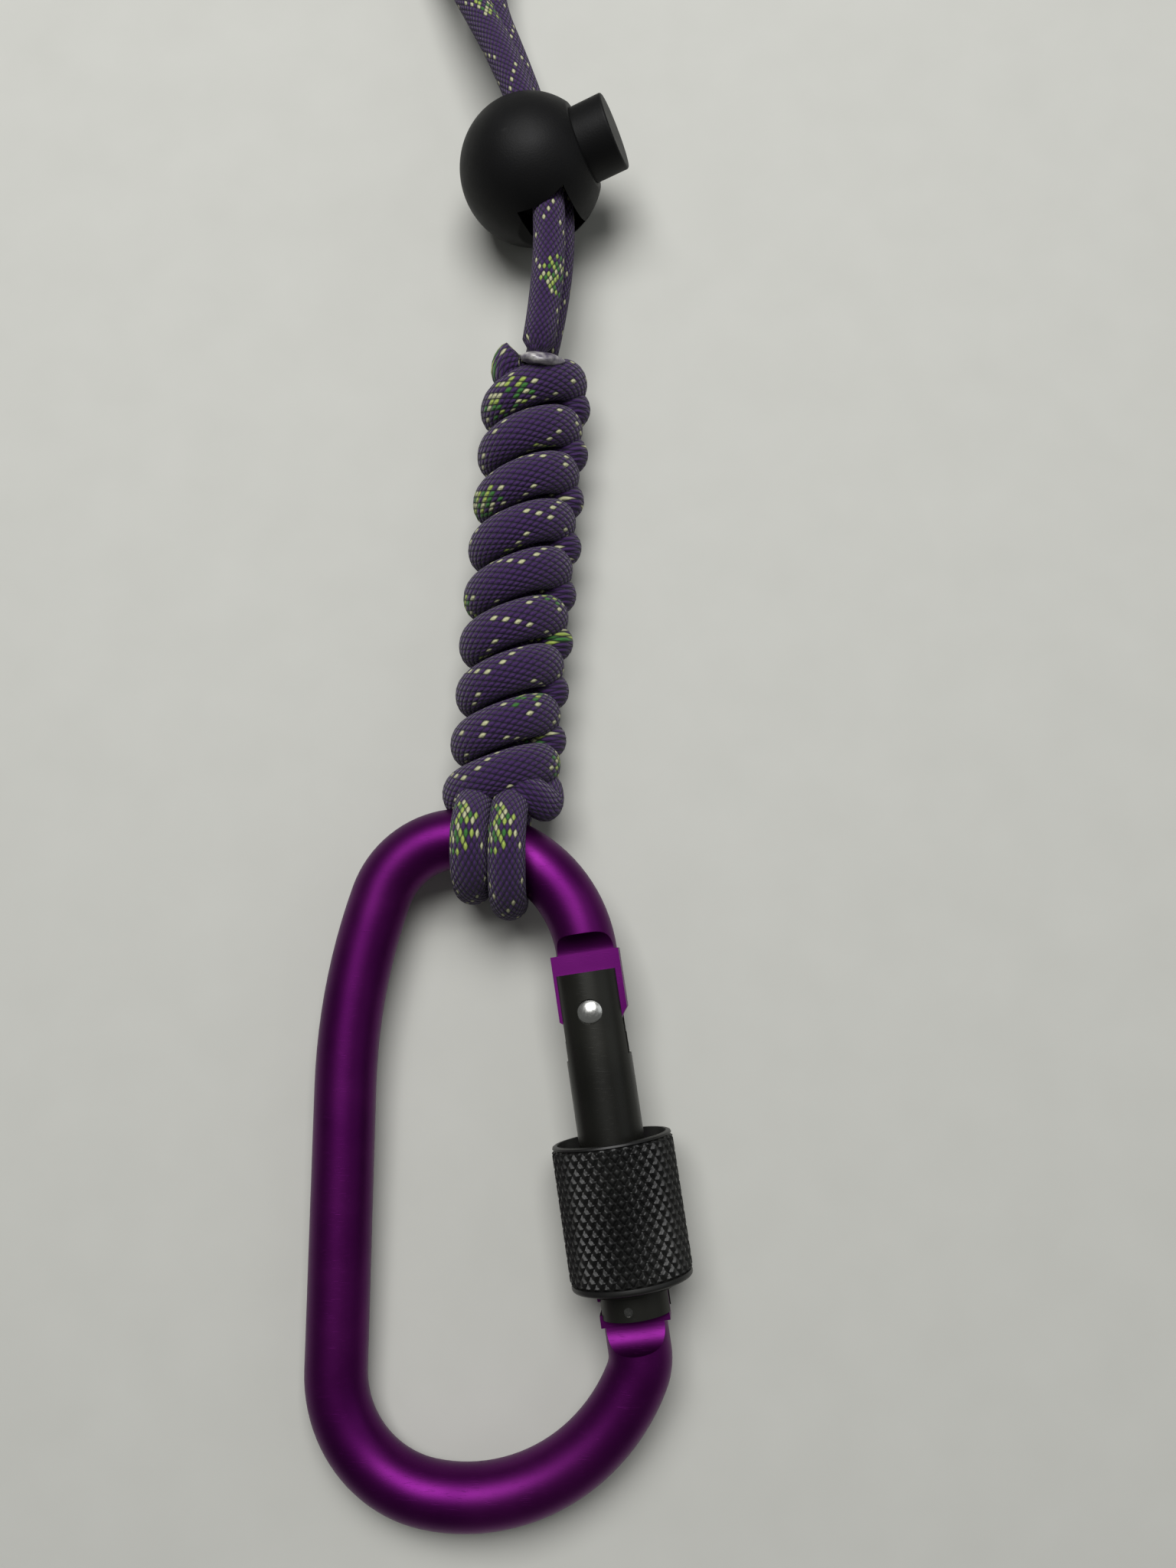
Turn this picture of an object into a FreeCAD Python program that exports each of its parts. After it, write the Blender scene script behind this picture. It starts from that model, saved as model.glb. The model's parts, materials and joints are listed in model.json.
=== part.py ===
import FreeCAD, Part
import math
import os
import Sketcher
from FreeCAD import Placement, Rotation, Vector

os.makedirs("parts", exist_ok=True)
doc = FreeCAD.newDocument("locking_carabiner")

# Driving dimensions in millimetres and degrees.
SIZES = {
    "bar_radius": 3.5,            # round bar the bow is bent from
    "tongue_half": 1.35,          # half thickness of the two flat bar ends
    "slot_half": 1.45,            # half width of the two gate slots
    "bar_shift": 0.35,            # bar centre outside the rivet at the hinge
    "stem_radius": 3.7,           # gate stem
    "ear_half": 3.35,             # half width of the hinge ears
    "gate_top": 4.4,              # gate end above the rivet
    "gate_end": -33.1,            # gate end at the nose
    "barrel_radius": 4.75,        # threaded barrel under the sleeve
    "barrel_top": -19.0,
    "barrel_end": -30.5,
    "fork_radius": 4.0,           # slotted gate end beyond the barrel
    "shank_radius": 1.0,          # hinge rivet
    "rivet_head": 1.38,
    "pin_radius": 0.5,            # cross pin at the nose
    "pin_level": -32.05,
    "tongue_top": -30.75,
    "sleeve_radius": 6.85,
    "sleeve_length": 15.7,
    "sleeve_top": -14.15,         # sleeve just clear of the nose tongue
    "recess_radius": 6.1,         # counterbore in the sleeve's upper end
    "recess_depth": 4.5,
    "sleeve_bore": 4.85,
    "pusher_radius": 1.25,
    "pusher_tip": -3.5,
    "pusher_length": 5.0,
    "spring_bore": 1.3,
    "bore_end": -14.5,
    "cord_radius": 2.0,
    "strand_gap": 4.02,           # spacing of the two strands in the cord lock
    "knot_radius": 6.3,
    "knot_length": 56.5,
    "ball_radius": 9.0,
    "mouth_flat": 8.2,            # flats at the two cord mouths
    "button_flat": 7.3,          # flat the button comes out of
    "button_bore": 4.65,
    "button_radius": 4.6,
    "button_end": 11.5,
    "cord_shift": 2.0,            # strands lie this far to the button's side
    "yaw": 8.5,                   # gate axis turned from the long axis
    "seat_x": 0.5,                # where the rivet centre stands
    "seat_y": -0.6,
    "seat_z": 7.68,
}
sheet = doc.addObject("Spreadsheet::Sheet", "dims")
for row, (name, value) in enumerate(SIZES.items(), start=1):
    sheet.set(f"A{row}", name)
    sheet.set(f"B{row}", str(value))
    sheet.setAlias(f"B{row}", name)
doc.recompute()

# The whole carabiner leans on its sleeve, so its flat plane is tipped a little.
FLOOR_NORMAL = Vector(-0.0864, -0.0402, 1.0)
CENTRE_X = -9.99
CENTRE_Y = -16.965
SEAT = Placement(
    Vector(SIZES["seat_x"] - CENTRE_X, SIZES["seat_y"] - CENTRE_Y, SIZES["seat_z"]),
    Rotation(Vector(0, 0, 1), FLOOR_NORMAL) * Rotation(Vector(0, 0, 1), SIZES["yaw"]),
)
HERE = Placement()
X_AXIS = Vector(1, 0, 0)
Y_AXIS = Vector(0, 1, 0)
UP_Y = Rotation(X_AXIS, -90)      # turns a primitive's own Z onto +Y
UP_X = Rotation(Y_AXIS, 90)       # turns a primitive's own Z onto +X
nodes = {}


def at(x, y, z, turn=None):
    return Placement(Vector(x, y, z), turn or Rotation())


def solid(kind, name, place, **sizes):
    """A Part primitive whose sizes are spreadsheet expressions or plain numbers."""
    item = doc.addObject("Part::" + kind, name)
    item.Placement = place
    for prop, size in sizes.items():
        if isinstance(size, str):
            item.setExpression(prop, size)
        else:
            setattr(item, prop, size)
    return item


def cylinder(name, place, radius, height):
    return solid("Cylinder", name, place, Radius=radius, Height=height)


def block(name, low, high):
    """A box between two corners."""
    size = [high[i] - low[i] for i in range(3)]
    return solid("Box", name, at(*low), Length=size[0], Width=size[1], Height=size[2])


def fuse(name, items):
    joined = doc.addObject("Part::MultiFuse", name)
    joined.Shapes = items
    return joined


def common(name, items):
    shared = doc.addObject("Part::MultiCommon", name)
    shared.Shapes = items
    return shared


def cut(name, base, tools):
    """Base less every tool; several tools are fused first."""
    result = doc.addObject("Part::Cut", name)
    result.Base = base
    result.Tool = tools[0] if len(tools) == 1 else fuse(name + "_tools", tools)
    return result


def is_circle(edge):
    return not edge.Degenerated and edge.Curve.TypeId == "Part::GeomCircle"


def rounded(name, base, radius, picks):
    """Fillets the edges of base for which picks(edge) is true."""
    doc.recompute()
    item = doc.addObject("Part::Fillet", name)
    item.Base = base
    found = [i for i, e in enumerate(base.Shape.Edges, start=1) if picks(e)]
    item.Edges = [(i, radius, radius) for i in found]
    return item


def finish(name, item, place):
    """Names a finished piece and puts it where it belongs."""
    item.Label = name
    item.Placement = place.multiply(item.Placement)
    nodes[name] = item


def prism(name, corners, low, high):
    """An upright prism over a polygon in the XY plane."""
    sketch = doc.addObject("Sketcher::SketchObject", name + "_outline")
    count = len(corners)
    for i in range(count):
        a = Vector(*corners[i], 0)
        b = Vector(*corners[(i + 1) % count], 0)
        sketch.addGeometry(Part.LineSegment(a, b))
    for i in range(count):
        sketch.addConstraint(Sketcher.Constraint("Coincident", i, 2, (i + 1) % count, 1))
    sketch.Placement = at(0, 0, low)
    item = doc.addObject("Part::Extrusion", name)
    item.Base = sketch
    item.Dir = Vector(0, 0, high - low)
    item.Solid = True
    return item


def walk(start, heading, moves):
    """Tangent chain of (length, 0) lines and (radius, turn) arcs, as sketch geometry."""
    here = Vector(*start, 0)
    shapes = []
    for size, turn in moves:
        way = Vector(math.cos(heading), math.sin(heading), 0)
        if turn == 0:
            there = here + way * size
            shapes.append(Part.LineSegment(here, there))
        else:
            left = Vector(-way.y, way.x, 0)
            hub = here + left * size
            angle = math.radians(turn)
            first = here - hub
            middle = Rotation(Vector(0, 0, 1), turn / 2).multVec(first)
            last = Rotation(Vector(0, 0, 1), turn).multVec(first)
            shapes.append(Part.Arc(here, hub + middle, hub + last))
            there = hub + last
            heading += angle
        here = there
    print("chain ends at", round(here.x, 3), round(here.y, 3), round(math.degrees(heading), 2))
    return shapes


def swept(name, path, profile):
    item = doc.addObject("Part::Sweep", name)
    item.Sections = [profile]
    item.Spine = (path, [f"Edge{i + 1}" for i in range(len(path.Shape.Edges))])
    item.Solid = True
    item.Frenet = True
    return item


# ---- Bow: one bent round bar with a flat tongue milled on each end ----
BAR_START = -3.4
path = doc.addObject("Sketcher::SketchObject", "bow_path")
for piece in walk(
    (SIZES["bar_shift"], BAR_START),
    math.pi / 2,
    [
        (10.1, 0),
        (15.39, 75.91),
        (9.86, 76.48),
        (68.97, 18.44),
        (30.9, 0),
        (12.78, 81.04),
        (20.99, 77.51),
        (5.61, 30.62),
        (6.5, 0),
    ],
):
    path.addGeometry(piece)
doc.recompute()
ring = solid(
    "Circle", "bow_section", at(SIZES["bar_shift"], BAR_START, 0, UP_Y), Radius="dims.bar_radius"
)
doc.recompute()
bar = swept("bow_bar", path, ring)
FAR = 12.0
TONGUE = SIZES["tongue_half"]
HINGE_FLAT_END = 6.6
NOSE_FLAT_END = -34.0
HINGE_RAMP = 2.15
NOSE_RAMP = 2.9
# The tongues are pressed a little wider than the round bar.
hinge_plate = block("hinge_plate", (-3.75, -3.4, -TONGUE), (4.05, HINGE_FLAT_END, TONGUE))
nose_plate = block("nose_plate", (-4.05, NOSE_FLAT_END, -TONGUE), (3.6, -28.0, TONGUE))
bar = fuse("bow_form", [bar, hinge_plate, nose_plate])
cutters = []
for side, low, high in (("front", TONGUE, FAR), ("back", -FAR, -TONGUE)):
    way = 1 if side == "front" else -1
    cutters += [
        block("hinge_flat_" + side, (-6, -8, low), (8, HINGE_FLAT_END, high)),
        block("nose_flat_" + side, (-6, NOSE_FLAT_END, low), (6, -25, high)),
        cylinder("hinge_ramp_" + side,
                 at(-9, HINGE_FLAT_END, way * (TONGUE + HINGE_RAMP), UP_X), HINGE_RAMP, 20.0),
        cylinder("nose_ramp_" + side,
                 at(-9, NOSE_FLAT_END, way * (TONGUE + NOSE_RAMP), UP_X), NOSE_RAMP, 20.0),
    ]
# The hinge tongue's end is trimmed to a cam for the pusher, its outer strip chamfered.
cutters.append(
    prism("cam_trim_out", [(2.0, -3.4), (3.5, -0.8), (5.5, 1.9), (5.5, -6), (2.0, -6)], -3, 3)
)
cutters.append(
    prism("cam_trim_in", [(-2.0, -3.4), (-2.0, -6), (-5.5, -6), (-5.5, 0.4), (-3.1, -1.2)], -3, 3)
)
cutters.append(cylinder("tongue_bore", at(0, 0, -3), "dims.shank_radius + 0.05", 6.0))
# Hook notch for the cross pin, open to the inside of the bow.
PIN_Y = SIZES["pin_level"]
PIN_X = -0.6
notch_half = SIZES["pin_radius"] + 0.12
cutters.append(
    block("hook_notch", (-6, PIN_Y - notch_half, -3), (PIN_X, PIN_Y + notch_half + 0.25, 3))
)
cutters.append(cylinder("hook_seat", at(PIN_X, PIN_Y, -3), notch_half, 6.0))
cutters.append(block("tongue_trim", (-6, SIZES["tongue_top"], -6), (6, -25.0, 6)))
finish("body_bow", cut("body_bow_cut", bar, cutters), SEAT)

# ---- Gate: stem, threaded barrel and forked end ----
stem = cylinder("gate_stem", at(0, SIZES["gate_end"] + 2, 0, UP_Y), "dims.stem_radius",
                "dims.gate_top - dims.gate_end - 2")
EAR = SIZES["ear_half"]
ear_box = block("ear_box", (-EAR, -2.9, -5), (EAR, 5.0, 5))
stem_box = block("stem_box", (-6, -34, -6), (6, -2.9, 6))
stem_form = common("stem_form", [stem, fuse("stem_limits", [ear_box, stem_box])])
barrel = cylinder("gate_barrel", at(0, SIZES["barrel_end"], 0, UP_Y), "dims.barrel_radius",
                  "dims.barrel_top - dims.barrel_end")
fork = cylinder("gate_fork", at(0, SIZES["gate_end"], 0, UP_Y), "dims.fork_radius", 3.0)
gate_form = fuse("gate_form", [stem_form, barrel, fork])
SLOT = SIZES["slot_half"]
gate_cutters = [
    block("hinge_slot", (-6, -5.2, -SLOT), (6, 6, SLOT)),
    block("nose_slot", (-6, -35, -SLOT), (6, -30.15, SLOT)),
    cylinder("rivet_hole", at(0, 0, -6), "dims.shank_radius + 0.05", 12.0),
    cylinder("pin_hole", at(PIN_X, PIN_Y, -6), "dims.pin_radius", 12.0),
    cylinder("spring_hole", at(0, SIZES["bore_end"], 0, UP_Y), "dims.spring_bore", 10.0),
    cylinder("front_seat", at(0, 0, 3.4), "dims.rivet_head + 0.05", 2.0),
    cylinder("back_seat", at(0, 0, -5.4), "dims.rivet_head + 0.05", 2.0),
]
finish("gate", cut("gate_cut", gate_form, gate_cutters), SEAT)

# ---- Hinge rivet: shank and two low domed heads ----
shank = cylinder("rivet_shank", at(0, 0, -3.5), "dims.shank_radius", 7.0)
heads = []
DOME = 2.4
for side, base_z, ball_z in (("front", 3.45, 3.45 + 0.42 - DOME), ("back", -4.2, -3.87 + DOME)):
    slug = cylinder("head_slug_" + side, at(0, 0, base_z), "dims.rivet_head", 0.75)
    dome = solid("Sphere", "head_dome_" + side, at(0, 0, ball_z), Radius=DOME)
    heads.append(common("head_" + side, [slug, dome]))
finish("hinge_rivet", fuse("rivet_form", [shank] + heads), SEAT)

# ---- Cross pin at the nose ----
finish("nose_pin", cylinder("cross_pin", at(PIN_X, PIN_Y, -3.8), "dims.pin_radius", 7.6), SEAT)

# ---- Pusher and its compression spring inside the stem ----
tip_y = SIZES["pusher_tip"]
pusher = cylinder("pusher_rod", at(0, tip_y - SIZES["pusher_length"], 0, UP_Y),
                  "dims.pusher_radius", "dims.pusher_length")
finish("spring_pusher", pusher, SEAT)


def spring(name, place, radius, pitch, height, wire):
    """A round-wire helix about the local Z axis."""
    helix = solid("Helix", name + "_helix", HERE, Pitch=pitch, Height=height, Radius=radius)
    section = solid("Circle", name + "_wire", at(radius, 0, 0, Rotation(X_AXIS, 90)), Radius=wire)
    doc.recompute()
    coil = doc.addObject("Part::Sweep", name + "_coil")
    coil.Sections = [section]
    coil.Spine = (helix, [f"Edge{i + 1}" for i in range(len(helix.Shape.Edges))])
    coil.Solid = True
    coil.Frenet = True
    coil.Placement = place
    return coil


finish("gate_spring", spring("gate_spring", at(0, -14.3, 0, UP_Y), 0.95, 0.93, 5.58, 0.18), SEAT)

# ---- Locking sleeve and the friction ring that rides in its recess ----
top_y = SIZES["sleeve_top"]
low_y = top_y - SIZES["sleeve_length"]
shell = rounded(
    "sleeve_round",
    cylinder("sleeve_shell", at(0, low_y, 0, UP_Y), "dims.sleeve_radius", "dims.sleeve_length"),
    0.6,
    is_circle,
)
sleeve_cutters = [
    cylinder("sleeve_hole", at(0, low_y - 1, 0, UP_Y), "dims.sleeve_bore", 18.0),
    cylinder("sleeve_recess", at(0, top_y - SIZES["recess_depth"], 0, UP_Y),
             "dims.recess_radius", "dims.recess_depth + 1"),
]
finish("lock_sleeve", cut("sleeve_cut", shell, sleeve_cutters), SEAT)
ring_y = top_y - SIZES["recess_depth"] + 0.05
band = cylinder("ring_band", at(0, ring_y, 0, UP_Y), "dims.recess_radius - 0.08", 0.8)
hole = cylinder("ring_hole", at(0, ring_y - 1, 0, UP_Y), "dims.sleeve_bore", 3.0)
finish("sleeve_ring", cut("ring_cut", band, [hole]), SEAT)

# ---- Cord lock: ball, push button and its spring ----
# The button comes out along local X, the cords run along local Y.
BALL_AT = Vector(-7.15 - CENTRE_X, 103.75 - CENTRE_Y, 9.05)
cord_way = Vector(-0.25, 0.96, -0.05).normalize()
button_way = Vector(0.920, 0.235, 0.323)
button_way = (button_way - cord_way * button_way.dot(cord_way)).normalize()
side_way = button_way.cross(cord_way)
BALL = Placement(BALL_AT, Rotation(button_way, cord_way, side_way, "XYZ"))
ball = solid("Sphere", "ball", HERE, Radius="dims.ball_radius")
MOUTH_FLAT = SIZES["mouth_flat"]
flats = block("ball_flats", (-12, -MOUTH_FLAT, -12), (SIZES["button_flat"], MOUTH_FLAT, 12))
ball_form = rounded(
    "ball_round", common("ball_form", [ball, flats]), 0.5,
    lambda e: is_circle(e) and e.Length > 10,
)
CORD_LOW = SIZES["cord_shift"] - SIZES["cord_radius"] - 0.1
CORD_HIGH = SIZES["cord_shift"] + SIZES["cord_radius"] + 0.1
MOUTH_HALF = 4.16
TRAVEL = 2.8
ball_cutters = [
    cylinder("button_hole", at(-6.85, 0, 0, UP_X), "dims.button_bore", 20.0),
    cylinder("spring_seat", at(-8.05, 0, 0, UP_X), 2.6, 3.0),
    block("cord_mouth", (CORD_LOW - 2.2, -12, -MOUTH_HALF), (CORD_HIGH, 12, MOUTH_HALF)),
]
finish("cord_lock_ball", cut("ball_cut", ball_form, ball_cutters), BALL)
plug = rounded(
    "button_round",
    cylinder("button_plug", at(-3.4, 0, 0, UP_X), "dims.button_radius", "dims.button_end + 3.4"),
    0.3,
    lambda e: is_circle(e) and e.CenterOfMass.x > 5,
)
button_slot = block("button_slot", (CORD_LOW - 0.4, -8, -MOUTH_HALF),
                    (CORD_HIGH + TRAVEL + 0.08, 8, MOUTH_HALF))
finish("cord_lock_button", cut("button_cut", plug, [button_slot]), BALL)
finish("cord_lock_spring",
       spring("cord_lock_spring", at(-7.8, 0, 0, UP_X), 1.9, 1.3, 3.9, 0.24), BALL)


# ---- Cord: straight runs joined by tangent arcs, swept as a tube ----
def tube(name, points, radius):
    """Tube through control points, with each corner rounded by its own tangent arc."""
    knots = [Vector(*p) for p in points]
    edges = []
    start = knots[0]
    radii = []
    for before, corner, after in zip(knots, knots[1:], knots[2:]):
        a = (before - corner).normalize()
        b = (after - corner).normalize()
        half_turn = (math.pi - a.getAngle(b)) / 2
        reach = 0.45 * min((before - corner).Length, (after - corner).Length)
        bend = reach / math.tan(half_turn)
        radii.append(round(bend, 1))
        enter = corner + a * reach
        leave = corner + b * reach
        hub = corner + (a + b).normalize() * (bend / math.cos(half_turn))
        middle = hub + (corner - hub).normalize() * bend
        edges.append(Part.LineSegment(start, enter).toShape())
        edges.append(Part.Arc(enter, middle, leave).toShape())
        start = leave
    edges.append(Part.LineSegment(start, knots[-1]).toShape())
    line = doc.addObject("Part::Feature", name + "_line")
    line.Shape = Part.Wire(edges)
    way = (knots[1] - knots[0]).normalize()
    place = Placement(knots[0], Rotation(Vector(0, 0, 1), way))
    section = solid("Circle", name + "_section", place, Radius=radius)
    doc.recompute()
    pipe = swept(name + "_pipe", line, section)
    doc.recompute()
    want = math.pi * section.Radius.Value ** 2 * line.Shape.Length
    print(name, "length", round(line.Shape.Length, 1), "bend radii", radii,
          "volume ratio", round(pipe.Shape.Volume / want, 4))
    return pipe


def flat(x, y, z):
    """A point given from the rivet side of the seat, moved into the part's frame."""
    return (x - CENTRE_X, y - CENTRE_Y, z)


GAP = SIZES["strand_gap"] / 2
lift = side_way * GAP
cord_mid = BALL_AT + button_way * SIZES["cord_shift"]
near = cord_mid - cord_way * 10.5
far = cord_mid + cord_way * 10.5
KNOT_TOP = Vector(*flat(-6.35, 77.0, 9.4))
high_in = KNOT_TOP + Vector(0, 0, GAP)
low_in = KNOT_TOP - Vector(0, 0, GAP)
loop = [
    high_in,
    near + lift,
    far + lift,
    Vector(*flat(-17.0, 133.0, 7.6)),
    Vector(*flat(-25.0, 152.0, 2.1)),
    Vector(*flat(-45.0, 178.0, 2.1)),
    Vector(*flat(-43.0, 215.0, 2.1)),
    Vector(*flat(-11.0, 222.0, 2.1)),
    Vector(*flat(6.0, 193.0, 2.1)),
    Vector(*flat(-3.5, 162.0, 2.1)),
    Vector(*flat(-15.5, 137.0, 5.0)),
    far - lift,
    near - lift,
    low_in,
]
finish("lanyard_cord", tube("lanyard_cord", loop, "dims.cord_radius - 0.02"), HERE)

# The knot's outer form, lying along the cord between the bow and the cord lock.
KNOT_LOW = Vector(*flat(-10.0, 24.0, 6.33))
knot_way = (Vector(*flat(-5.9, 80.0, 6.33)) - KNOT_LOW).normalize()
knot_place = Placement(KNOT_LOW, Rotation(Vector(0, 0, 1), knot_way))
knot = rounded(
    "knot_round", cylinder("knot_form", HERE, "dims.knot_radius", "dims.knot_length"), 2.6,
    is_circle,
)
finish("lanyard_knot", knot, knot_place)

# Two strands of the hitch, each over the bar, down inside the bow and back underneath.
for name, x, inner in (("hitch_strand_left", -13.35, 13.1), ("hitch_strand_right", -9.1, 11.25)):
    mouth = -10.6 + (x + 11.2) * 0.95
    bend = [
        flat(mouth, 27.8, 7.4),
        flat(x, 21.6, 14.4),
        flat(x, inner + 0.6, 12.8),
        flat(x, inner, 2.9),
        flat(x, 20.6, 1.54),
        flat(mouth, 27.8, 3.4),
    ]
    finish(name, tube(name, bend, "dims.cord_radius - 0.15"), HERE)

# Melted cord end standing at the knot's upper end.
melt = cylinder("melt_stub", HERE, 2.05, 3.2)
melt_place = Placement(Vector(*flat(-5.8, 77.0, 11.6)), Rotation(Vector(0, 0, 1), Vector(0.1, 0.8, 0.5)))
finish("melted_end", rounded("melt_round", melt, 0.8, is_circle),
       melt_place)

doc.recompute()
for item in doc.Objects:
    if "Invalid" in item.State or "Error" in item.State:
        raise RuntimeError(f"{item.Name} is {item.State}")
box = None
for name, item in nodes.items():
    shape = item.Shape
    if shape.isNull() or not shape.isValid() or not shape.Solids:
        raise RuntimeError(f"{name} has no valid solid")
    b = shape.BoundBox
    print(f"{name:20s} solids {len(shape.Solids)} vol {shape.Volume:9.2f} "
          f"x {b.XMin:7.2f} {b.XMax:7.2f} y {b.YMin:7.2f} {b.YMax:7.2f} z {b.ZMin:6.2f} {b.ZMax:6.2f}")
    if name in ("body_bow", "gate", "lock_sleeve", "hinge_rivet", "nose_pin"):
        box = b if box is None else box.united(b)
    shape.exportStep(f"parts/{name}.step")
print("carabiner box", box)
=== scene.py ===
# %% [markdown]
# # A locking carabiner on a cord lanyard
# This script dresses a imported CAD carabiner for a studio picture. The CAD frame gives every hard piece
# its place; here the pieces get their finishes, the sleeve gets its knurl and the cord is tied.

# %% Load the frame
import json
import math
import bpy
import numpy as np
from mathutils import Matrix, Vector


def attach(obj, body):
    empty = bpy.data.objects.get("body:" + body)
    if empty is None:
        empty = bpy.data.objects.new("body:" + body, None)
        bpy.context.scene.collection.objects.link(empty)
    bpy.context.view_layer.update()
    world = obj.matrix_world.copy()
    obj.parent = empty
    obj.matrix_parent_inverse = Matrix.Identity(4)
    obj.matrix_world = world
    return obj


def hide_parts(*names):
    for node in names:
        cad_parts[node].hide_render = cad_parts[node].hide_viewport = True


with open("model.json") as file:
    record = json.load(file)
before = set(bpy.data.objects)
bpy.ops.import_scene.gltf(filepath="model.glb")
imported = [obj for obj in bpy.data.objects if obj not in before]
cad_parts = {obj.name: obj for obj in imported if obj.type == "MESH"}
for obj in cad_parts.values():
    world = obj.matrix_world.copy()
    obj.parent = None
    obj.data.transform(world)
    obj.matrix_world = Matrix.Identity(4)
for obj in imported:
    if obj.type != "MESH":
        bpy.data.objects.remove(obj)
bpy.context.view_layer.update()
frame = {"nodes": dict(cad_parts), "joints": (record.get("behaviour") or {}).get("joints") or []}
MM = 0.001
print("nodes:", sorted(frame["nodes"]))


# %% [markdown]
# ## Shader maths in plain signs
# `Val` wraps one node socket, so that `a * 2 + b` builds the two maths nodes it needs. The same class
# works in shader trees and in Geometry Nodes trees, because both use the same maths node.

# %% Maths on sockets
class Val:
    def __init__(self, tree, socket):
        self.tree, self.socket = tree, socket

    def op(self, kind, *others):
        node = self.tree.nodes.new("ShaderNodeMath")
        node.operation = kind
        for i, item in enumerate((self, *others)):
            if isinstance(item, Val):
                self.tree.links.new(item.socket, node.inputs[i])
            else:
                node.inputs[i].default_value = item
        return Val(self.tree, node.outputs[0])

    def __add__(self, other):
        return self.op("ADD", other)

    def __radd__(self, other):
        return self + other

    def __sub__(self, other):
        return self.op("SUBTRACT", other)

    def __rsub__(self, other):
        return self * -1 + other

    def __mul__(self, other):
        return self.op("MULTIPLY", other)

    def __rmul__(self, other):
        return self * other

    def __truediv__(self, other):
        return self.op("DIVIDE", other)

    def floor(self):
        return self.op("FLOOR")

    def frac(self):
        return self.op("FRACT")

    def abs(self):
        return self.op("ABSOLUTE")

    def mod(self, other):
        return self.op("FLOORED_MODULO", other)

    def least(self, other):
        return self.op("MINIMUM", other)

    def most(self, other):
        return self.op("MAXIMUM", other)

    def below(self, other):
        return self.op("LESS_THAN", other)

    def above(self, other):
        return self.op("GREATER_THAN", other)

    def power(self, other):
        return self.op("POWER", other)

    def sine(self):
        return self.op("SINE")

    def near(self, target, width):
        """1 within width of target, else 0."""
        return (self - target).abs().below(width)

    def ridge(self):
        """Triangle wave: 0 at whole numbers, 1 half way between them."""
        return 1 - (self.frac() * 2 - 1).abs()

    def ramp(self, low, high):
        """0 below low, 1 above high, straight between."""
        return ((self - low) / (high - low)).most(0.0).least(1.0)


def node_in(tree, kind, settings=None, inputs=None):
    """One node: its type, its settings, then what goes into its sockets."""
    node = tree.nodes.new(kind)
    for name, value in (settings or {}).items():
        setattr(node, name, value)
    for name, value in (inputs or {}).items():
        if isinstance(value, Val):
            value = value.socket
        if isinstance(value, bpy.types.NodeSocket):
            tree.links.new(value, node.inputs[name])
        else:
            node.inputs[name].default_value = value
    return node


# %% [markdown]
# ## Materials
# Each finish starts from one Principled shader. Slow noise varies its colour and roughness, fine noise
# and scratches go to its bump, so that no surface is one flat value.

# %% Material helpers
def new_material(name, metallic=0.0, coat=0.0, specular=0.5, sheen=0.0):
    mat = bpy.data.materials.new(name)
    mat.use_nodes = True
    shader = mat.node_tree.nodes["Principled BSDF"]
    shader.inputs["Metallic"].default_value = metallic
    shader.inputs["Coat Weight"].default_value = coat
    shader.inputs["Specular IOR Level"].default_value = specular
    shader.inputs["Sheen Weight"].default_value = sheen
    return mat, mat.node_tree, shader


def place(tree, stretch=(1, 1, 1)):
    """Object coordinates in metres, stretched."""
    coord = node_in(tree, "ShaderNodeTexCoord").outputs["Object"]
    mapping = node_in(tree, "ShaderNodeMapping", inputs={"Vector": coord, "Scale": stretch})
    return mapping.outputs["Vector"]


def noise(tree, vector, scale, detail=3.0, rough=0.5):
    node = node_in(tree, "ShaderNodeTexNoise", inputs={
        "Vector": vector, "Scale": scale, "Detail": detail, "Roughness": rough})
    return Val(tree, node.outputs["Fac"])


def mix(tree, factor, a, b):
    """Colour a where factor is 0, b where it is 1."""
    node = node_in(tree, "ShaderNodeMix", {"data_type": "RGBA"}, {"Factor": factor})
    for slot, value in ((6, a), (7, b)):
        if isinstance(value, bpy.types.NodeSocket):
            tree.links.new(value, node.inputs[slot])
        else:
            node.inputs[slot].default_value = (*value, 1.0)
    return node.outputs[2]


def drive(tree, shader, name, value):
    tree.links.new(value.socket if isinstance(value, Val) else value, shader.inputs[name])


def bump(tree, shader, height, distance, strength=1.0):
    node = node_in(tree, "ShaderNodeBump", inputs={
        "Height": height, "Distance": distance, "Strength": strength})
    tree.links.new(node.outputs["Normal"], shader.inputs["Normal"])


def anodised(name, deep, bright, roughness, metallic=1.0):
    """Satin anodised aluminium: soft colour drift, matt blast texture, hairline handling marks."""
    mat, tree, shader = new_material(name, metallic=metallic)
    where = place(tree)
    slow = noise(tree, where, 90, 2.0)
    drive(tree, shader, "Base Color", mix(tree, slow.ramp(0.35, 0.7), deep, bright))
    marks = noise(tree, place(tree, (1, 14, 3)), 700, 2.0).ramp(0.62, 0.72)
    cloud = noise(tree, where, 320, 4.0)
    drive(tree, shader, "Roughness", cloud * 0.12 + roughness + marks * 0.10)
    fine = noise(tree, where, 9000, 2.0)
    bump(tree, shader, fine * 0.6 + marks * 0.5, 0.00002, 0.35)
    return mat


PURPLE = anodised("anodised_purple", (0.080, 0.005, 0.088), (0.118, 0.010, 0.124), 0.40)
BLACK = anodised("anodised_black", (0.012, 0.012, 0.010), (0.022, 0.022, 0.018), 0.33, 0.6)
SLEEVE = anodised("sleeve_black", (0.008, 0.008, 0.008), (0.018, 0.018, 0.017), 0.36, 0.45)


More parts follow.
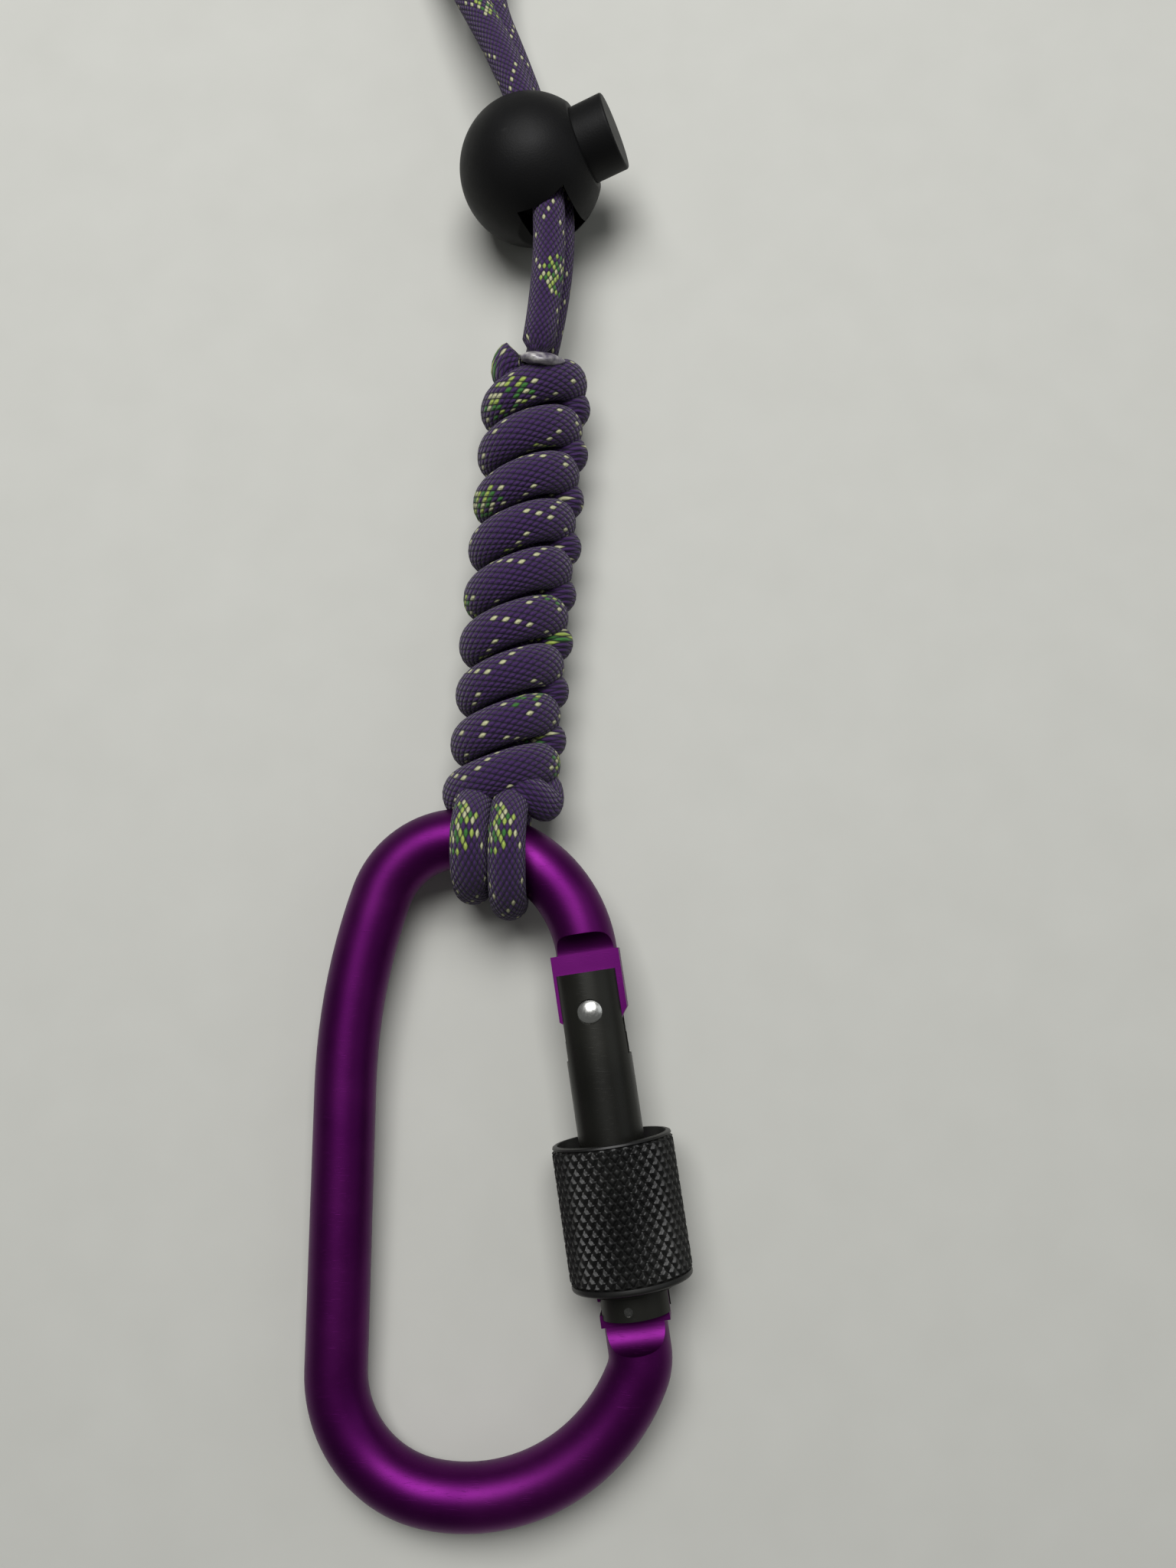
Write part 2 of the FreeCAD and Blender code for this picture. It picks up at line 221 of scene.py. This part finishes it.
def steel(name, dull, bright):
    """Bare steel with fine turning marks."""
    mat, tree, shader = new_material(name, metallic=1.0)
    turned = noise(tree, place(tree, (1, 1, 6)), 2500, 2.0)
    drive(tree, shader, "Base Color", mix(tree, turned, dull, bright))
    drive(tree, shader, "Roughness", turned * 0.14 + 0.20)
    bump(tree, shader, noise(tree, place(tree), 5000, 2.0), 0.00002, 0.3)
    return mat


def moulded(name, deep, bright, roughness):
    """Matt moulded plastic with a fine spark texture."""
    mat, tree, shader = new_material(name, specular=0.14)
    where = place(tree)
    drive(tree, shader, "Base Color", mix(tree, noise(tree, where, 150, 3.0), deep, bright))
    drive(tree, shader, "Roughness", noise(tree, where, 400, 3.0) * 0.15 + roughness)
    bump(tree, shader, noise(tree, where, 4200, 4.0, 0.6), 0.00004, 0.5)
    return mat


STEEL = steel("rivet_steel", (0.50, 0.50, 0.48), (0.74, 0.74, 0.71))
DARK_STEEL = steel("spring_steel", (0.10, 0.10, 0.095), (0.20, 0.20, 0.19))
PLASTIC = moulded("plastic_black", (0.0030, 0.0030, 0.0032), (0.0062, 0.0062, 0.0066), 0.44)
NYLON = moulded("ring_plastic", (0.012, 0.012, 0.012), (0.025, 0.025, 0.025), 0.5)
print("materials:", [m.name for m in bpy.data.materials])


# %% [markdown]
# ## The braided sheath
# A sheath has twenty yarns winding each way. Its two families of diagonals cross in little cells, and
# the upper yarn of each cell alternates. The coloured tracers show most where both families carry
# them, which gives repeating clusters of flecks; single cream flecks stand between. The cord meshes
# carry a UV map: U is once round, V is millimetres of length.

# %% Cord material
YARNS = 20
LAY = 20.0        # millimetres for one turn of a yarn
PALETTE = {
    "ground": (0.060, 0.018, 0.118),
    "shade": (0.028, 0.010, 0.062),
    "cream": (0.50, 0.50, 0.30),
    "lime": (0.33, 0.43, 0.085),
    "green": (0.040, 0.16, 0.030),
}
# Each tracer: its yarn, its colour, and how near the other family's tracers it stays bright.
RIGHT_HAND = ((4, "cream", 9), (5, "lime", 4), (6, "green", 4), (7, "lime", 4), (8, "green", 4),
              (9, "cream", 5), (14, "cream", 9))
LEFT_HAND = ((4, "lime", 4), (5, "green", 4), (6, "cream", 5), (7, "lime", 4), (8, "green", 4),
             (16, "cream", 9))
CROSSING = 6.5    # the yarn round which the tracers meet


def paracord():
    """Woven nylon sheath with coloured tracer yarns, and painted shade in the gaps between the yarns."""
    mat, tree, shader = new_material("paracord", specular=0.22, sheen=0.15)
    shader.inputs["Roughness"].default_value = 0.75
    shader.inputs["Sheen Roughness"].default_value = 0.5
    uv = node_in(tree, "ShaderNodeUVMap", {"uv_map": "UVMap"}).outputs["UV"]
    split = node_in(tree, "ShaderNodeSeparateXYZ", inputs={"Vector": uv})
    round_ = Val(tree, split.outputs["X"]) * YARNS
    along = Val(tree, split.outputs["Y"]) * (YARNS / LAY)
    a = round_ + along
    b = round_ - along
    yarn_a, yarn_b = a.floor().mod(YARNS), b.floor().mod(YARNS)
    over = ((a.floor() + b.floor()).mod(2.0)).below(0.5)
    fibre = noise(tree, place(tree), 5200, 2.0)
    cell = node_in(tree, "ShaderNodeCombineXYZ", inputs={"X": a.floor(), "Y": b.floor()})
    chance = Val(tree, node_in(tree, "ShaderNodeTexWhiteNoise", inputs={
        "Vector": cell.outputs[0]}).outputs["Value"])
    shown = chance.above(0.30)

    def family(index, other, table):
        colour = mix(tree, fibre, PALETTE["shade"], PALETTE["ground"])
        for number, name, reach in table:
            mask = index.near(number, 0.5) * other.near(CROSSING, reach + 0.5) * shown
            colour = mix(tree, mask, colour, PALETTE[name])
        return colour

    both = mix(tree, over, family(yarn_b, yarn_a, LEFT_HAND), family(yarn_a, yarn_b, RIGHT_HAND))
    height = (a.ridge() * b.ridge()).power(0.4)
    # Painted shade: where the weave dips between yarns the colour is mixed to near black, standing in for the
    # shadow in the gaps.
    edge = height.ramp(0.22, 0.70)
    drive(tree, shader, "Base Color", mix(tree, edge, (0.005, 0.003, 0.012), both))
    bump(tree, shader, height + fibre * 0.25, 0.00028, 1.0)
    return mat


CORD = paracord()


def melted():
    """Melted nylon: a pale glassy skin over a darker lump."""
    mat, tree, shader = new_material("melted_nylon", coat=0.35)
    where = place(tree)
    lump = noise(tree, where, 700, 4.0)
    burnt, clear = (0.10, 0.085, 0.12), (0.46, 0.44, 0.43)
    drive(tree, shader, "Base Color", mix(tree, lump.ramp(0.38, 0.62), burnt, clear))
    drive(tree, shader, "Roughness", lump * 0.35 + 0.18)
    bump(tree, shader, lump, 0.00035, 0.8)
    return mat


MELT = melted()
print("cord finishes:", CORD.name, MELT.name)

# %% [markdown]
# ## Dress the CAD pieces
# The hard pieces keep their CAD shape. Only their material changes.

# %% Materials on CAD nodes
DRESS = {
    "body_bow": (PURPLE, "anodised_purple"),
    "gate": (BLACK, "anodised_black"),
    "hinge_rivet": (STEEL, "rivet_steel"),
    "nose_pin": (DARK_STEEL, "rivet_steel"),
    "spring_pusher": (DARK_STEEL, "spring_steel"),
    "gate_spring": (DARK_STEEL, "spring_steel"),
    "sleeve_ring": (NYLON, "ring_plastic"),
    "cord_lock_ball": (PLASTIC, "plastic_black"),
    "cord_lock_button": (PLASTIC, "plastic_black"),
    "cord_lock_spring": (DARK_STEEL, "spring_steel"),
}
for name, (material, slot) in DRESS.items():
    node = frame["nodes"][name]
    node.data.materials.clear()
    node.data.materials.append(material)
print("dressed", len(DRESS), "CAD nodes")


# %% [markdown]
# ## Cord routes
# `route` reads a smooth NURBS line through the given control points. `sheathe` sweeps a round section
# along it and writes the UV map the sheath pattern needs.

# %% Route and sweep
def route(name, points, steps=10):
    """The points a NURBS curve follows, evenly read from Blender's own evaluation."""
    data = bpy.data.curves.new(name + "_route", "CURVE")
    data.dimensions = "3D"
    data.resolution_u = steps
    line = data.splines.new("NURBS")
    line.points.add(len(points) - 1)
    for spot, co in zip(line.points, points):
        spot.co = (*co, 1.0)
    line.order_u = 3
    line.use_endpoint_u = True
    holder = bpy.data.objects.new(name + "_route", data)
    mesh = bpy.data.meshes.new_from_object(holder)
    found = np.array([v.co for v in mesh.vertices])
    bpy.data.objects.remove(holder)
    bpy.data.meshes.remove(mesh)
    return found


def sheathe(name, line, radius, sides=20, press=None, ends=True, turn=0.0):
    """A tube mesh round line, with UVs: U once round, V in millimetres. press = (axis, stretch)."""
    keep = np.r_[True, np.linalg.norm(np.diff(line, axis=0), axis=1) > 1e-7]
    line = line[keep]
    way = np.gradient(line, axis=0)
    way /= np.linalg.norm(way, axis=1)[:, None]
    length = np.r_[0, np.cumsum(np.linalg.norm(np.diff(line, axis=0), axis=1))]
    side = np.cross(way[0], [0.0, 0.0, 1.0])
    if np.linalg.norm(side) < 0.1:
        side = np.cross(way[0], [1.0, 0.0, 0.0])
    side /= np.linalg.norm(side)
    verts, angle = [], np.linspace(0, 2 * np.pi, sides, endpoint=False) + turn
    total = length[-1]
    for i, (p, t) in enumerate(zip(line, way)):
        side = side - t * side.dot(t)
        side /= np.linalg.norm(side)
        up = np.cross(t, side)
        r = radius
        if ends:
            gap = min(length[i], total - length[i]) / (radius * 0.45)
            r = radius * math.sqrt(max(0.0, 1 - (1 - min(gap, 1.0)) ** 2)) if gap < 1 else radius
            r = max(r, radius * 0.15)
        ring = r * (np.cos(angle)[:, None] * side + np.sin(angle)[:, None] * up)
        if press:
            axis = np.array(press[0])
            ring += (press[1] - 1) * np.outer(ring @ axis, axis)
        verts.append(p + ring)
    verts = np.vstack(verts)
    rings = len(line)
    faces, uvs = [], []
    for i in range(rings - 1):
        for j in range(sides):
            k = (j + 1) % sides
            faces.append((i * sides + j, i * sides + k, (i + 1) * sides + k, (i + 1) * sides + j))
            u0, u1 = j / sides, (j + 1) / sides
            v0, v1 = length[i] / MM, length[i + 1] / MM
            uvs += [(u0, v0), (u1, v0), (u1, v1), (u0, v1)]
    for first in (0, (rings - 1) * sides):
        cap = [first + j for j in range(sides)]
        faces.append(tuple(cap[::-1] if first == 0 else cap))
        uvs += [(j / sides, length[0 if first == 0 else -1] / MM) for j in range(sides)]
    mesh = bpy.data.meshes.new(name)
    mesh.from_pydata([tuple(v) for v in verts], [], faces)
    layer = mesh.uv_layers.new(name="UVMap")
    layer.data.foreach_set("uv", np.array(uvs).ravel())
    mesh.polygons.foreach_set("use_smooth", [True] * len(mesh.polygons))
    mesh.materials.append(CORD)
    thing = bpy.data.objects.new(name, mesh)
    bpy.context.scene.collection.objects.link(thing)
    return thing, float(total)


# %% [markdown]
# ## The wrist loop and the cord lock's strands
# The control points are the ones the CAD tube was bent through. Most of the loop lies beyond the
# upper edge of the view.

# %% Wrist loop
CORD_R = 0.0020
CENTRE = Vector((-9.99, -16.965, 0))
BALL = Vector((-7.15, 103.75, 9.05)) - CENTRE
WAY = Vector((-0.25, 0.96, -0.05)).normalized()
PUSH = Vector((0.920, 0.235, 0.323))
PUSH = (PUSH - WAY * PUSH.dot(WAY)).normalized()
GAP = 2.01            # half the distance between the two strands
LIFT = PUSH.cross(WAY) * GAP
CORD_MID = BALL + PUSH * 2.0
KNOT_TOP = Vector((-6.35, 77.0, 9.4)) - CENTRE


def flat(x, y, z):
    return Vector((x, y, z)) - CENTRE


LOCK_REACH = 10.5     # how far the cords run straight each way from the lock's middle
near_lock, far_lock = CORD_MID - WAY * LOCK_REACH, CORD_MID + WAY * LOCK_REACH
loop = [
    KNOT_TOP + Vector((0, 0, GAP)),
    near_lock + LIFT,
    far_lock + LIFT,
    flat(-17.0, 133.0, 7.6),
    flat(-25.0, 152.0, 2.1),
    flat(-45.0, 178.0, 2.1),
    flat(-43.0, 215.0, 2.1),
    flat(-11.0, 222.0, 2.1),
    flat(6.0, 193.0, 2.1),
    flat(-3.5, 162.0, 2.1),
    flat(-15.5, 137.0, 5.0),
    far_lock - LIFT,
    near_lock - LIFT,
    KNOT_TOP - Vector((0, 0, GAP)),
]
loop_line = route("lanyard_cord", [p * MM for p in loop], 14)
loop_cord, loop_length = sheathe("wrist_loop", loop_line, CORD_R, 24)
print("wrist loop length", round(loop_length, 4))

# %% [markdown]
# ## The two-strand knot
# Both strands climb the knot in the same way, half a turn and half a step apart. Strand A crosses the
# front from the left edge up to the right one, tucks back through the core and comes out at the left
# again, one step higher. Strand B does the same across the back, so only its loops show at the edges.

# %% Knot strands
KNOT_LOW = flat(-10.0, 24.0, 6.33)
CLIMB = (flat(-5.9, 80.0, 6.33) - KNOT_LOW).normalized()
OUT = Vector((0, 0, 1))
RIGHT = CLIMB.cross(OUT).normalized()
STEP = 6.02       # one band to the next
CROSS = 4.3       # how far a strand climbs on its way across
FIRST_BULGE = 0.45    # the first front band stands out over the hitch
REPEATS = 9
BENDS = (188, 150, 112, 72, 34, -6)   # degrees round the core at each control point


def in_knot(x, z, s):
    """A point from the knot's own axes: right, out and along, in millimetres."""
    return (KNOT_LOW + RIGHT * x + OUT * z + CLIMB * s) * MM


def climb(reach, side, start, shift):
    """Control points of one strand; side 1 crosses the front, -1 the back."""
    points = []
    for k in range(REPEATS):
        low = start + k * STEP
        wobble = 0.16 * math.sin(2.3 * k + side)
        for turn in BENDS:
            a = math.radians(turn)
            rise = CROSS * (1 + math.cos(a)) / 2
            r = reach + wobble * math.sin(a * 2 + k) + (FIRST_BULGE if k == 0 and side == 1 else 0)
            points.append(in_knot(side * r * math.cos(a) + shift, side * r * 0.97 * math.sin(a), low + rise))
        points.append(in_knot(side * 2.2, side * 0.5, low + CROSS * 1.08))
        points.append(in_knot(side * -2.2, side * 0.3, low + STEP * 0.93))
    return points


front = [in_knot(-1.2, 0.2, -1.0)] + climb(4.75, 1, 0.0, -0.35)
front = front[:-2] + [in_knot(2.2, 0.4, 51.9), in_knot(-1.2, 1.4, 52.2), in_knot(-3.7, 2.2, 52.2),
                      in_knot(-3.9, 3.2, 53.2), in_knot(-2.4, 3.4, 54.3)]
back = [in_knot(-0.9, 2.4, 2.2), in_knot(1.2, 3.8, 1.2), in_knot(3.5, 3.8, 0.2), in_knot(5.4, 1.7, -0.8)]
back += climb(4.6, -1, 0.2 + STEP / 2 - 1.9, 0.55)
back = back[:-1] + [in_knot(0.6, 0.0, 53.2)]
for name, points, stretch in (("knot_strand_a", front, 1.34), ("knot_strand_b", back, 1.12)):
    line = route(name, points, 6)
    strand, length = sheathe(name, line, CORD_R * 0.98, 20, (CLIMB, stretch), turn=0.4)
    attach(strand, "bow")
    if name == "knot_strand_a":
        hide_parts("lanyard_knot")
    print(name, "length", round(length, 4))

# %% [markdown]
# ## The hitch
# Two strands come out of the knot, pass round the bow and go back in. The CAD tubes take the same
# route apart from their first two points: here the strands dive sooner, to go under the knot.

# %% Hitch strands round the bow
for name, x, inner in (("hitch_strand_left", -13.35, 13.1), ("hitch_strand_right", -9.1, 11.25)):
    mouth = -10.6 + (x + 11.2) * 0.95
    points = [
        flat(mouth, 25.6, 5.8),
        flat(x, 21.6, 14.5),
        flat(x, inner + 0.6, 12.8),
        flat(x, inner, 2.9),
        flat(x, 20.6, 1.54),
        flat(mouth, 27.8, 3.4),
    ]
    line = route(name, [p * MM for p in points], 16)
    strand, length = sheathe(name + "_cord", line, CORD_R * 0.95, 24, ((1, 0, 0), 1.12), ends=False)
    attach(strand, "bow")
    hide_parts(name)
    print(name, "length", round(length, 4))
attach(loop_cord, "bow")
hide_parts("lanyard_cord")

# %% [markdown]
# ## The melted cord end
# A cut end was melted and pressed: a flat lumpy cap on the last of strand A.

# %% Melted cap
rng = np.random.default_rng(7)


def lumpy_cap(name, centre, way, radius, thick):
    """A low lumpy dome whose axis is way."""
    mesh = bpy.data.meshes.new(name)
    rings, sides = 18, 36
    verts, faces = [], []
    phase = rng.uniform(0, 6.28, 6)
    for i in range(rings + 1):
        t = math.pi * i / rings
        for j in range(sides):
            a = 2 * math.pi * j / sides
            lump = 1 + 0.07 * math.sin(3 * a + phase[0]) + 0.05 * math.sin(5 * a + phase[1] + 3 * t)
            r = radius * math.sin(t) ** 0.75 * lump
            h = thick * math.cos(t) * (1 + 0.12 * math.sin(4 * a + phase[2]) * math.sin(t))
            verts.append((r * math.cos(a), r * math.sin(a), h))
    for i in range(rings):
        for j in range(sides):
            k = (j + 1) % sides
            faces.append((i * sides + j, (i + 1) * sides + j, (i + 1) * sides + k, i * sides + k))
    mesh.from_pydata(verts, [], faces)
    turn = way.to_track_quat("Z", "Y").to_matrix().to_4x4()
    mesh.transform(Matrix.Translation(centre) @ turn)
    mesh.polygons.foreach_set("use_smooth", [True] * len(mesh.polygons))
    mesh.materials.append(MELT)
    mesh.update()
    thing = bpy.data.objects.new(name, mesh)
    bpy.context.scene.collection.objects.link(thing)
    return thing


cap = lumpy_cap("melted_cap", in_knot(0.4, 4.9, 53.3), Vector((0.10, 0.90, 0.42)), 0.0027, 0.0008)
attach(cap, "bow")
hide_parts("melted_end")


# %% [markdown]
# ## The knurled sleeve
# The knurl is one Geometry Nodes tree: a flat grid is rolled into a cylinder and pushed out into rows of
# diamonds. The rims and the bore are a turned shell around it.

# %% The gate's own axes
joints = {j["name"]: j for j in frame["joints"]}
HINGE = Vector(joints["gate_hinge"]["pos_m"])
FACE = -Vector(joints["gate_hinge"]["axis"])
UP = Vector(joints["sleeve_travel"]["axis"])
GATE = Matrix.Translation(HINGE) @ Matrix((UP.cross(FACE), UP, FACE)).transposed().to_4x4()

# %% Knurl tree
SLEEVE_TOP, SLEEVE_LOW = -14.15, -29.85
KNURL_TOP, KNURL_LOW = SLEEVE_TOP - 0.45, SLEEVE_LOW + 0.75
OUTER = 6.85
AROUND, ROWS = 34, 9
KNURL_DEPTH = 0.36


def knurl_tree():
    tree = bpy.data.node_groups.new("diamond_knurl", "GeometryNodeTree")
    face = tree.interface
    face.new_socket("Geometry", in_out="OUTPUT", socket_type="NodeSocketGeometry")
    sockets = {}
    for name in ("Radius", "Depth", "Bottom", "Length", "Around", "Rows"):
        sockets[name] = face.new_socket(name, in_out="INPUT", socket_type="NodeSocketFloat")
    given = tree.nodes.new("NodeGroupInput")
    value = {name: Val(tree, given.outputs[name]) for name in sockets}
    grid = node_in(tree, "GeometryNodeMeshGrid", inputs={
        "Size X": 1.0, "Size Y": 1.0, "Vertices X": 401, "Vertices Y": 145})
    spot = node_in(tree, "ShaderNodeSeparateXYZ", inputs={
        "Vector": tree.nodes.new("GeometryNodeInputPosition").outputs[0]})
    turn = Val(tree, spot.outputs["X"]) + 0.5
    along = Val(tree, spot.outputs["Y"]) + 0.5
    a = turn * value["Around"] + along * value["Rows"]
    b = turn * value["Around"] - along * value["Rows"]
    peak = a.ridge().least(b.ridge()) * 1.7
    fade = (along * 60.0).least(1.0).least((1 - along) * 60.0).most(0.0)
    radius = value["Radius"] - value["Depth"] + peak.least(1.0) * value["Depth"] * fade
    angle = turn * (2 * math.pi)
    where = node_in(tree, "ShaderNodeCombineXYZ", inputs={
        "X": radius * angle.op("COSINE"),
        "Y": value["Bottom"] + along * value["Length"],
        "Z": radius * angle.sine() * -1})
    moved = node_in(tree, "GeometryNodeSetPosition", inputs={
        "Geometry": grid.outputs["Mesh"], "Position": where.outputs[0]})
    welded = node_in(tree, "GeometryNodeMergeByDistance", inputs={
        "Geometry": moved.outputs[0], "Distance": 1e-7})
    smooth = node_in(tree, "GeometryNodeSetShadeSmooth", inputs={
        "Geometry": welded.outputs[0], "Shade Smooth": True})
    real = node_in(tree, "GeometryNodeRealizeInstances", inputs={"Geometry": smooth.outputs[0]})
    painted = node_in(tree, "GeometryNodeSetMaterial", inputs={
        "Geometry": real.outputs[0], "Material": SLEEVE})
    done = tree.nodes.new("NodeGroupOutput")
    tree.links.new(painted.outputs[0], done.inputs["Geometry"])
    return tree, {name: s.identifier for name, s in sockets.items()}


def grown(name, tree, ids, values):
    """The mesh a Geometry Nodes tree makes, with no modifier left on it."""
    seed = bpy.data.objects.new(name + "_seed", bpy.data.meshes.new(name + "_seed"))
    bpy.context.scene.collection.objects.link(seed)
    modifier = seed.modifiers.new("grow", "NODES")
    modifier.node_group = tree
    for key, value in values.items():
        modifier[ids[key]] = value
    bpy.context.view_layer.update()
    depth = bpy.context.evaluated_depsgraph_get()
    mesh = bpy.data.meshes.new_from_object(seed.evaluated_get(depth))
    bpy.data.objects.remove(seed)
    return mesh


def turned(profile, sides=96):
    """Vertices and faces of a profile (radius, y) turned about Y."""
    verts, faces = [], []
    for r, y in profile:
        for j in range(sides):
            a = 2 * math.pi * j / sides
            verts.append((r * math.cos(a), y, -r * math.sin(a)))
    for i in range(len(profile) - 1):
        for j in range(sides):
            k = (j + 1) % sides
            faces.append((i * sides + j, i * sides + k, (i + 1) * sides + k, (i + 1) * sides + j))
    return verts, faces


tree, ids = knurl_tree()
knurl = grown("knurl", tree, ids, {
    "Radius": OUTER * MM, "Depth": KNURL_DEPTH * MM, "Bottom": KNURL_LOW * MM,
    "Length": (KNURL_TOP - KNURL_LOW) * MM, "Around": float(AROUND), "Rows": float(ROWS)})
print("knurl faces", len(knurl.polygons))
groove = OUTER - KNURL_DEPTH
profile = [(groove, KNURL_LOW), (6.72, KNURL_LOW - 0.05)]
profile += [(6.38 + 0.4 * math.cos(t), SLEEVE_LOW + 0.4 - 0.4 * math.sin(t))
            for t in np.linspace(0, math.pi / 2, 9)]
profile += [(5.05, SLEEVE_LOW), (4.87, SLEEVE_LOW + 0.2), (4.85, SLEEVE_TOP - 4.5), (4.95, SLEEVE_TOP - 4.45)]
profile += [(6.0, SLEEVE_TOP - 4.45), (6.1, SLEEVE_TOP - 4.3), (6.12, SLEEVE_TOP - 0.12), (6.2, SLEEVE_TOP)]
profile += [(6.5, SLEEVE_TOP), (6.68, SLEEVE_TOP - 0.10), (6.74, SLEEVE_TOP - 0.3), (groove, KNURL_TOP)]
verts, faces = turned([(r * MM, y * MM) for r, y in profile])
shell = bpy.data.meshes.new("sleeve_shell")
shell.from_pydata(verts, [], faces)
shell.materials.append(SLEEVE)
shell.polygons.foreach_set("use_smooth", [True] * len(shell.polygons))


def joined(name, meshes, place_at):
    """One object from several meshes, put in place inside its mesh data."""
    things = []
    for mesh in meshes:
        thing = bpy.data.objects.new(name, mesh)
        bpy.context.scene.collection.objects.link(thing)
        things.append(thing)
    with bpy.context.temp_override(active_object=things[0], selected_editable_objects=things):
        bpy.ops.object.join()
    things[0].data.transform(place_at)
    things[0].data.update()
    return things[0]


sleeve = joined("knurled_sleeve", [knurl, shell], GATE)
sleeve.data.set_sharp_from_angle(angle=math.radians(38))
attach(sleeve, "sleeve")
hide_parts("lock_sleeve")
print("sleeve box", [round(v, 4) for c in sleeve.bound_box for v in c][:6])

# %% [markdown]
# ## Stage, light and camera
# A pale matt table, one soft light overhead and a much weaker one from the right. The camera stands
# over the hinge and leans a little towards the cord lock.

# %% Stage
mesh = bpy.data.meshes.new("table")
mesh.from_pydata([(-2, -2, 0), (2, -2, 0), (2, 2, 0), (-2, 2, 0)], [], [(0, 1, 2, 3)])
table = bpy.data.objects.new("table", mesh)
bpy.context.scene.collection.objects.link(table)
floor, tree, shader = new_material("table_paint", specular=0.25)
shader.inputs["Roughness"].default_value = 0.75
grain = noise(tree, place(tree), 120, 4.0)
drive(tree, shader, "Base Color", mix(tree, grain, (0.50, 0.50, 0.465), (0.54, 0.54, 0.505)))
mesh.materials.append(floor)


def area(name, spot, aim, size, power, tint=(1, 1, 1)):
    data = bpy.data.lights.new(name, "AREA")
    data.shape, data.size, data.size_y = "RECTANGLE", size[0], size[1]
    data.energy, data.color = power, tint
    lamp = bpy.data.objects.new(name, data)
    lamp.location = spot
    lamp.rotation_euler = (Vector(aim) - Vector(spot)).to_track_quat("-Z", "Y").to_euler()
    bpy.context.scene.collection.objects.link(lamp)


area("overhead", (-0.04, 0.27, 0.52), (0, 0.06, 0), (0.42, 0.30), 3.5)
area("window", (0.75, 0.25, 0.55), (0, 0.03, 0), (0.6, 0.6), 0.8, (0.95, 0.98, 1.0))
world = bpy.data.worlds.new("room")
world.use_nodes = True
world.node_tree.nodes["Background"].inputs["Color"].default_value = (0.80, 0.82, 0.80, 1)
world.node_tree.nodes["Background"].inputs["Strength"].default_value = 0.15
bpy.context.scene.world = world
bpy.context.scene.view_settings.view_transform = "Standard"

# %% Camera
LENS = 29.88              # millimetres, on a 36 mm sensor
CAMERA_HEIGHT = 157.9     # millimetres above the table
CAMERA_TILT = 9.65        # degrees from straight down
lens = bpy.data.cameras.new("camera")
lens.lens = LENS
lens.sensor_width = 36.0
lens.clip_start = 0.01
camera = bpy.data.objects.new("camera", lens)
camera.location = Vector((-CENTRE.x, -CENTRE.y, CAMERA_HEIGHT)) * MM
camera.rotation_euler = (math.radians(CAMERA_TILT), 0, 0)
bpy.context.scene.collection.objects.link(camera)
bpy.context.scene.camera = camera
print("camera at", [round(v, 4) for v in camera.location])
